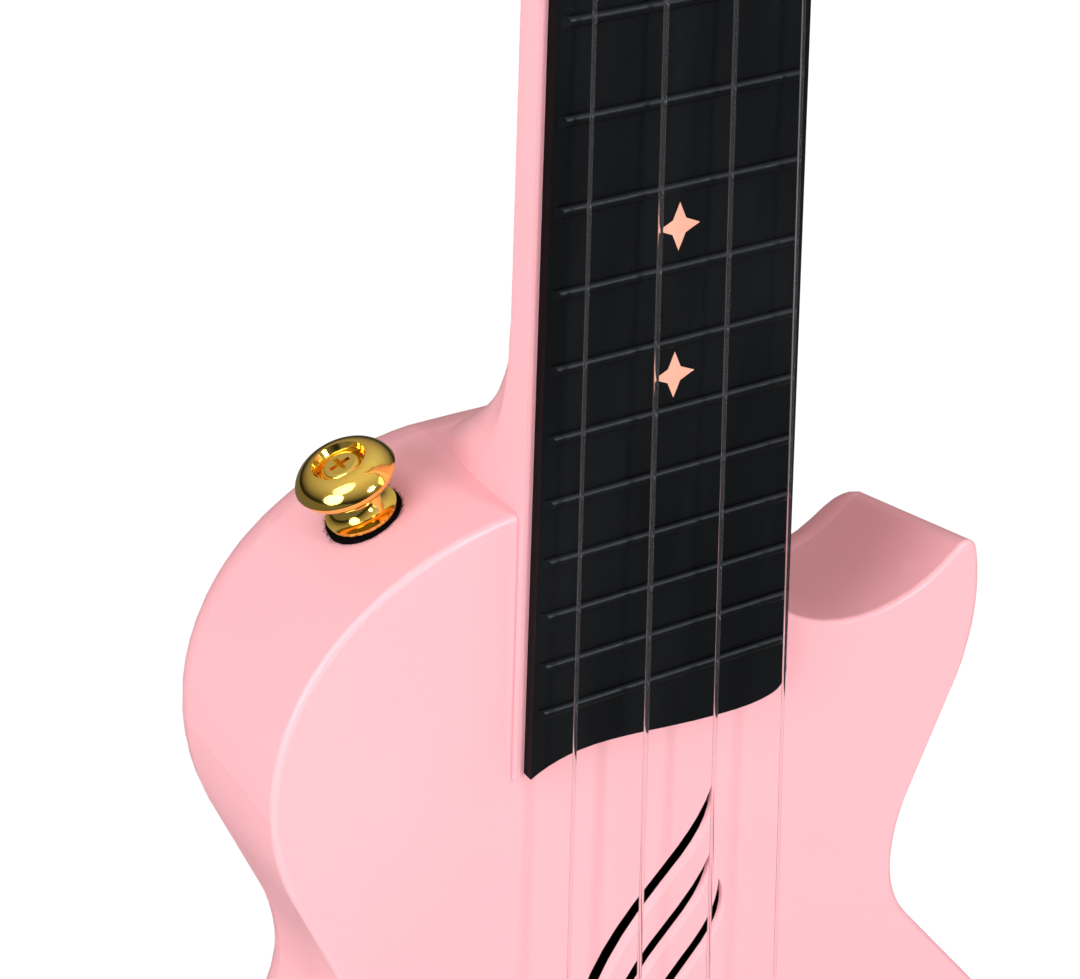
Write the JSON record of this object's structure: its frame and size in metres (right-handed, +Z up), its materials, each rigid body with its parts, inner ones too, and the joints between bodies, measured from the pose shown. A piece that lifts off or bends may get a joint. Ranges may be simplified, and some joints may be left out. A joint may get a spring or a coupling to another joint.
{
  "type": "ukulele",
  "caption": "Small plucked string instrument with a shallow cutaway body, moulded neck, clear strings, geared tuners on an angled headstock and strap buttons.",
  "frame": {"origin": "where the tail strap button's axis meets the end of the body, on the centre line at mid-depth", "axes": "+Z up the neck from the tail to the headstock, +Y out of the flat back, the soundboard faces -Y, +X towards the treble side with the cutaway"},
  "size_m": [0.187, 0.0533, 0.6014],
  "materials": {
    "pink_satin": "satin",
    "black_satin": "satin",
    "coral_inlay": "gloss",
    "ivory_plastic": "gloss",
    "gold_metal": "polished",
    "black_felt": "fuzzy",
    "clear_string": "clear",
    "spruce_brace": "raw",
    "rod_steel": "brushed"
  },
  "bodies": {
    "instrument": {"body_shell": "pink_satin", "back_cover": "pink_satin", "neck_rod": "rod_steel", "fretboard": "black_satin", "position_stars": "coral_inlay", "nut": "ivory_plastic", "saddle": "ivory_plastic", "bridge": "black_satin", "bridge_plate": "spruce_brace", "top_braces": "spruce_brace", "strap_block_upper": "spruce_brace", "strap_block_tail": "spruce_brace", "strap_button_upper": "gold_metal", "strap_button_tail": "gold_metal", "strap_screw_upper": "gold_metal", "strap_screw_tail": "gold_metal", "felt_washer_upper": "black_felt", "felt_washer_tail": "black_felt", "string_beads": "clear_string", "tuner_housings": "gold_metal", "gear_covers": "gold_metal", "tuner_bushings": "gold_metal", "tuner_washers": "gold_metal", "tuner_mounting_screws": "gold_metal", "string_g": "clear_string", "string_c": "clear_string", "string_e": "clear_string", "string_a": "clear_string"},
    "post_g": {"tuner_post_g": "gold_metal", "worm_wheel_g": "gold_metal", "gear_screw_g": "gold_metal", "string_winding_g": "clear_string"},
    "knob_g": {"worm_shaft_g": "gold_metal", "tuner_button_g": "ivory_plastic", "button_screw_g": "gold_metal"},
    "post_c": {"tuner_post_c": "gold_metal", "worm_wheel_c": "gold_metal", "gear_screw_c": "gold_metal", "string_winding_c": "clear_string"},
    "knob_c": {"worm_shaft_c": "gold_metal", "tuner_button_c": "ivory_plastic", "button_screw_c": "gold_metal"},
    "post_e": {"tuner_post_e": "gold_metal", "worm_wheel_e": "gold_metal", "gear_screw_e": "gold_metal", "string_winding_e": "clear_string"},
    "knob_e": {"worm_shaft_e": "gold_metal", "tuner_button_e": "ivory_plastic", "button_screw_e": "gold_metal"},
    "post_a": {"tuner_post_a": "gold_metal", "worm_wheel_a": "gold_metal", "gear_screw_a": "gold_metal", "string_winding_a": "clear_string"},
    "knob_a": {"worm_shaft_a": "gold_metal", "tuner_button_a": "ivory_plastic", "button_screw_a": "gold_metal"}
  },
  "joints": [
    {"name": "knob_spin_g", "type": "hinge", "parent": "instrument", "child": "knob_g", "pos_m": [-0.039, -0.00001, 0.50209], "axis": [-1, 0, 0], "continuous": true},
    {"name": "post_spin_g", "type": "hinge", "parent": "instrument", "child": "post_g", "pos_m": [-0.019, 0.00094, 0.5075], "axis": [0, -0.9848, 0.1736], "continuous": true},
    {"name": "knob_spin_c", "type": "hinge", "parent": "instrument", "child": "knob_c", "pos_m": [-0.039, 0.00693, 0.54148], "axis": [-1, 0, 0], "continuous": true},
    {"name": "post_spin_c", "type": "hinge", "parent": "instrument", "child": "post_c", "pos_m": [-0.019, 0.00789, 0.54689], "axis": [0, -0.9848, 0.1736], "continuous": true},
    {"name": "knob_spin_e", "type": "hinge", "parent": "instrument", "child": "knob_e", "pos_m": [0.039, 0.00693, 0.54148], "axis": [1, 0, 0], "continuous": true},
    {"name": "post_spin_e", "type": "hinge", "parent": "instrument", "child": "post_e", "pos_m": [0.019, 0.00789, 0.54689], "axis": [0, -0.9848, 0.1736], "continuous": true},
    {"name": "knob_spin_a", "type": "hinge", "parent": "instrument", "child": "knob_a", "pos_m": [0.039, -0.00001, 0.50209], "axis": [1, 0, 0], "continuous": true},
    {"name": "post_spin_a", "type": "hinge", "parent": "instrument", "child": "post_a", "pos_m": [0.019, 0.00094, 0.5075], "axis": [0, -0.9848, 0.1736], "continuous": true}
  ],
  "couplings": [
    {"joint": "post_spin_g", "follows": "knob_spin_g", "ratio": -0.071429},
    {"joint": "post_spin_c", "follows": "knob_spin_c", "ratio": -0.071429},
    {"joint": "post_spin_e", "follows": "knob_spin_e", "ratio": -0.071429},
    {"joint": "post_spin_a", "follows": "knob_spin_a", "ratio": -0.071429}
  ]
}
